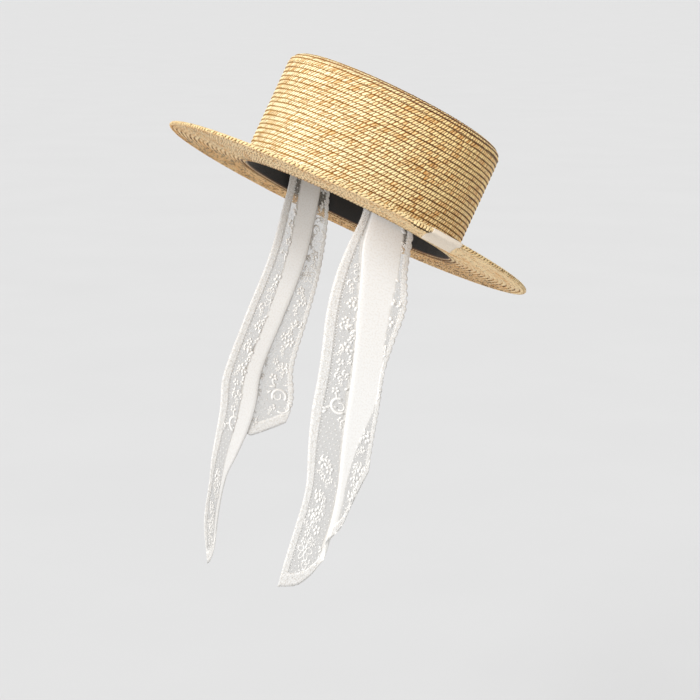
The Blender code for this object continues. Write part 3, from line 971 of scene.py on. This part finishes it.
# The dots that fill the ground between the motifs
MOTIF_REACH = 0.0055
DOT_SIZE = 0.0012
DOT_ROW = 0.0040
DOT_COLUMN = 0.0048
DOT_STRAY = 0.0002
LOOP_SIZE = (0.0014, 0.0009)


def stamp(shape, layers, mesh, across, down, length, width, turn):
    """Stamp one small shape on the flat cloth, a hair above or below its neighbours."""
    copy = mesh.copy()
    copy.transform(
        Matrix.Translation((across, down, LIFT_STEP * next(layers))) @ Matrix.Rotation(turn, 4, "Z")
        @ Matrix.Diagonal((length, width, 1, 1)))
    shape.from_mesh(copy)
    bpy.data.meshes.remove(copy)


def lace_pattern(shape, shift):
    """Lay the flowers, leaves, scrolls and dots on the flat cloth."""
    chance = random.Random(PATTERN_SEED)
    shapes = pattern_shapes()
    layers = itertools.cycle(range(-2, 3))
    filled = []
    for start, slip, facing in PATTERN_COLUMNS:
        for kind, x, y, share, turn in PATTERN_RUN:
            across = start + (x if facing > 0 else RUN_WIDTH_MM - x) / 1000
            down = (y / 1000 + slip + shift) % RUN_LENGTH
            if across > CLOTH_WIDTH - BARE_EDGE:
                continue
            share *= PATTERN_SCALE
            filled.append((across, down, share))
            face = math.radians(turn if facing > 0 else 180 - turn)
            for part, px, py, length, width, own_turn in MOTIFS[kind]:
                size = share / 1000
                away = Vector((px * size, py * size * facing, 0))
                away.rotate(Matrix.Rotation(face, 3, "Z"))
                stamp(
                    shape, layers, shapes[part], across + away.x, down + away.y, length * size,
                    width * size, face + math.radians(own_turn) * facing)
    for row in range(int(CLOTH_LENGTH / DOT_ROW)):
        for column in range(int(CLOTH_WIDTH / DOT_COLUMN)):
            x = (column + 0.5 * (row % 2)) * DOT_COLUMN + chance.uniform(-DOT_STRAY, DOT_STRAY)
            y = row * DOT_ROW + chance.uniform(-DOT_STRAY, DOT_STRAY)
            if all(math.hypot(x - fx, y - fy) > share * MOTIF_REACH for fx, fy, share in filled):
                stamp(shape, layers, shapes["dot"], x, y, DOT_SIZE, DOT_SIZE, 0)
    for row in range(int(CLOTH_LENGTH / LOOP_PITCH)):
        for x in (FRONT_HEM, CLOTH_WIDTH - BACK_HEM):
            stamp(shape, layers, shapes["dot"], x, row * LOOP_PITCH, *LOOP_SIZE, 0)
    for mesh in shapes.values():
        bpy.data.meshes.remove(mesh)


def make_tie(name, tie, shift):
    """Make one folded lace tie: net, hems, and the woven pattern where it is not stacked."""
    mesh, u, v = plain_grid(name + "_net", columns=70, rows=200)
    across = u * (CLOTH_WIDTH - SCALLOP_DEPTH)
    drape_on_tie(tie, mesh, across, v * tie_drop(tie, across))
    net = finish_piece(mesh, LACE_NET, name)
    hems = make_hems(name, tie)
    shape = bmesh.new()
    lace_pattern(shape, shift)
    middles = np.array([face.calc_center_median() for face in shape.faces])
    stacked = tie_surface(tie, middles[:, 0], np.maximum(middles[:, 1], 0.0))[1]
    hidden = [face for face, share in zip(shape.faces, stacked) if share > 0.5]
    bmesh.ops.delete(shape, geom=hidden, context="FACES")
    mesh = made_mesh(name + "_pattern", shape)
    across, down, lift = mesh_points(mesh).T
    drape_on_tie(tie, mesh, across, np.maximum(down, 0.0), lift)
    pattern = finish_piece(mesh, LACE_COTTON, name, LACE_WALL)
    drops = tie_drop(tie, np.linspace(0, CLOTH_WIDTH, 50))


def make_tab():
    """Make the plain cloth tab that folds round the brim's edge."""
    lift = SEAT_GAP + TAB_WALL / 2
    centre = BRIM_EDGE - BRIM_WALL / 2
    out, down = TAB_FLAP * math.cos(TAB_DROOP), TAB_FLAP * math.sin(TAB_DROOP)
    shares = 1 - np.arange(10) / 10
    points = [(centre - out * share, -lift - down * share ** 2) for share in shares]
    points += arc((centre, BRIM_WALL / 2), BRIM_WALL / 2 + lift, -90, 90)
    points += [(centre - TAB_TOP_REACH * step / 5, BRIM_WALL + lift) for step in range(1, 6)]
    mesh, u, v = plain_grid("tab_cloth", columns=40, rows=90)
    path = Profile(points)
    reach, height = path.at(v * path.length)[:2]
    middle = END_ANGLE + (TAB_END_GAP + TAB_WIDTH / 2) / (HALF_DEPTH + BRIM_EDGE)
    offset = TAB_WIDTH * (u - 0.5)
    angle = middle + offset / (HALF_DEPTH + reach)
    place_on_ovals(mesh, reach, angle, height)
    write_map(mesh, "cloth", u * TAB_WIDTH / TAB_THREAD, v * path.length / TAB_THREAD)
    finish_piece(mesh, TAB_CLOTH, "label_tab", TAB_WALL)


def make_braid_end():
    """Make the looped-back plaited end of the outermost braid row."""
    mesh, u, v = plain_grid("plaited_end", END_COLUMNS, rows=40)
    from_tip = (1 - u) * END_LENGTH
    tip = np.sqrt(1 - (1 - np.minimum(from_tip / END_ROUND, 1.0)) ** 2)
    root = END_ROOT_SIZE + (1 - END_ROOT_SIZE) * eased(2 * u)
    size = np.maximum(np.minimum(tip, root), END_LEAST_SIZE)
    strand = np.rint(u * END_COLUMNS) % END_STRAND / END_STRAND
    size = size * (1 + END_RELIEF * (np.sin(strand * math.pi) - 0.5))
    turn = 2 * math.pi * v
    reach = BRIM_EDGE - BRIM_WALL / 2 + END_HALF_WIDTH * size * np.cos(turn)
    angle = END_ANGLE - from_tip / (HALF_DEPTH + BRIM_EDGE) + END_SLANT * np.sin(turn)
    place_on_ovals(mesh, reach, angle, END_HALF_HEIGHT * size * np.sin(turn) - SEAT_GAP)
    # Painted shade: along a groove round the loop the braid map falls to its gap place, where the
    # straw look paints a dark line
    from_edge = np.minimum(from_tip, (1 + np.sin(turn)) * END_HALF_HEIGHT)
    looped = np.clip((np.abs(from_edge - END_LOOP) - END_GROOVE / 2) / END_THICKNESS * 2, 0.0, 0.8)
    write_map(mesh, "braid", u * END_COLUMNS / END_STRAND, looped, MAP_SHRINK)
    write_map(mesh, "row", u, v)
    close_seams(mesh)
    finish_piece(mesh, EDGE_STRAW, "braid_end")


def make_ring(name, profile, thread, look):
    """Turn a closed profile of reach and height round the opening, as a part of the band."""
    mesh, u, v = plain_grid(name, RING_STEPS, len(profile))
    points = np.array(profile + profile[:1])
    point = np.rint(v * len(profile)).astype(int)
    reach, height = points[point].T
    place_on_ovals(mesh, reach, 2 * math.pi * u, height)
    far = lengths_along(points)
    round_oval = math.pi * (HALF_WIDTH + HALF_DEPTH)
    write_map(mesh, "cloth", u * round_oval / thread, far[point] / thread)
    close_seams(mesh)
    finish_piece(mesh, look, "sweatband")


def make_band():
    """Make the ribbed ribbon that lines the crown's foot, with its piping."""
    half = BAND_WALL / 2
    middle = -SEAT_GAP - half
    low, high = BAND_LIFT + half, BAND_LIFT + BAND_HEIGHT - half
    ribbon = arc((middle, high), half, 0, 180, 6)
    ribbon += [(middle - half, high - (high - low) * step / 8) for step in range(1, 8)]
    ribbon += arc((middle, low), half, 180, 360, 6)
    make_ring("ribbon_band", ribbon, BAND_THREAD, BAND_CLOTH)
    piping = arc((middle, BAND_LIFT - PIPING_DROP), PIPING_RADIUS, 0, 330, 11)
    make_ring("band_piping", piping, PIPING_THREAD, PIPING)


def make_floor():
    """Make the pale floor."""
    shape = bmesh.new()
    place = Matrix.Translation((0, 0, CAD_BOX[0][2] - FLOOR_GAP))
    bmesh.ops.create_grid(shape, x_segments=2, y_segments=2, size=60, matrix=place)
    mesh = made_mesh("floor", shape)
    look, tree, shader = new_material("pale floor", Roughness=0.9)
    place = node(tree, "TexCoord").outputs["Object"]
    tone = blend(tree, noise(tree, place, 3.0), (0.685, 0.685, 0.685, 1), (0.715, 0.715, 0.715, 1))
    tree.links.new(tone, shader.inputs["Base Color"])
    mesh.materials.append(look)
    add_object("floor", mesh)


def make_sun(name, way, strength, softness):
    """Make one wide soft light that comes from a direction."""
    light = bpy.data.lights.new(name, "SUN")
    light.energy = strength
    light.angle = math.radians(softness)
    add_object(name, light).rotation_euler = Vector(way).to_track_quat("Z", "Y").to_euler()


def make_camera():
    """Aim the camera as the photo was taken, through the mount's place in the picture."""
    azimuth, pitch = math.radians(65), math.radians(9.7)
    distance, sensor = 2.0, 36
    picture, focal, mount_place = 700, 2316.0, (348.3, 211.0)
    back = Vector((
        math.sin(azimuth) * math.cos(pitch), -math.cos(azimuth) * math.cos(pitch), math.sin(pitch)))
    right = Vector((0, 0, 1)).cross(back).normalized()
    up = back.cross(right)
    aside, above = mount_place[0] - picture / 2, picture / 2 - mount_place[1]
    ray = -back + right * aside / focal + up * above / focal
    camera = bpy.data.cameras.new("camera")
    camera.sensor_width = sensor
    camera.lens = sensor * focal / picture
    camera.clip_start, camera.clip_end = 0.05, 200
    made = add_object("camera", camera)
    made.location = -ray.normalized() * distance
    made.rotation_euler = Matrix((right, up, back)).transposed().to_euler()
    bpy.context.scene.camera = made


def make_world():
    """Light the scene evenly from all round, with a pale backdrop behind it."""
    world = bpy.data.worlds.new("studio")
    world.use_nodes = True
    tree = world.node_tree
    backdrop = tree.nodes["Background"].inputs
    backdrop["Color"].default_value = (1, 1, 1, 1)
    seen = node(tree, "LightPath").outputs["Is Camera Ray"]
    strength = maths(tree, "MULTIPLY_ADD", seen, BACKDROP - ROOM_LIGHT, ROOM_LIGHT)
    tree.links.new(strength, backdrop["Strength"])
    bpy.context.scene.world = world
    bpy.context.scene.view_settings.view_transform = "Standard"


make_camera()
make_world()
make_floor()
make_sun("key", way=(0.50, -0.86, 0.60), strength=3.1, softness=35)
make_straw()
make_tab()
make_braid_end()
make_band()
make_tie("tie_left", LEFT_TIE, shift=0.0)
make_tie("tie_right", RIGHT_TIE, shift=0.04)
